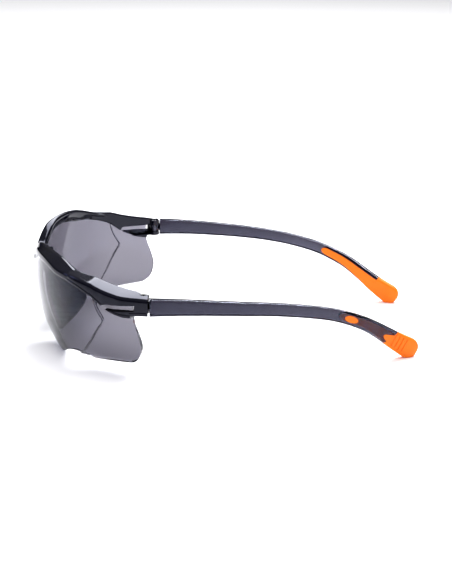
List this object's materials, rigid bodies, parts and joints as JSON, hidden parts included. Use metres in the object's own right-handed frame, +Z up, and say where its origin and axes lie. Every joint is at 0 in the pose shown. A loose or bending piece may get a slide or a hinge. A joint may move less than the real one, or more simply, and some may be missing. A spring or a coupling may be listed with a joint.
{
  "type": "safety glasses",
  "caption": "Wrap-around safety glasses: smoke lens with side shields in a half frame, ribbed nose pads and folding temples with soft tips.",
  "frame": {"origin": "middle of the footprint, on the surface that the open glasses stand on", "axes": "+Z up, -Y the way the wearer looks, +X the wearer's left"},
  "size_m": [0.143, 0.1694, 0.0467],
  "materials": {
    "frame_plastic": "glossy near-black smoke polycarbonate",
    "lens_smoke": "polished smoke-grey polycarbonate, transparent",
    "saddle_plastic": "dark moulded nylon",
    "pad_rubber": "soft dark ribbed rubber",
    "temple_smoke": "satin-gloss translucent smoke polycarbonate",
    "tip_rubber": "soft matte orange thermoplastic rubber",
    "screw_steel": "plain steel screw"
  },
  "bodies": {
    "frame": {"brow_frame": "frame_plastic", "lens": "lens_smoke", "nose_saddle": "saddle_plastic", "nose_pad_left": "pad_rubber", "nose_pad_right": "pad_rubber", "hinge_screw_left": "screw_steel", "hinge_screw_right": "screw_steel"},
    "temple_left": {"temple_left": "temple_smoke", "tip_left": "tip_rubber"},
    "temple_right": {"temple_right": "temple_smoke", "tip_right": "tip_rubber"}
  },
  "joints": [
    {"name": "fold_left", "type": "hinge", "parent": "frame", "child": "temple_left", "pos_m": [0.06569, -0.03284, 0.0315], "axis": [0, 0, 1], "range_deg": [0, 90]},
    {"name": "fold_right", "type": "hinge", "parent": "frame", "child": "temple_right", "pos_m": [-0.06569, -0.03284, 0.0315], "axis": [0, 0, -1], "range_deg": [0, 78]}
  ]
}
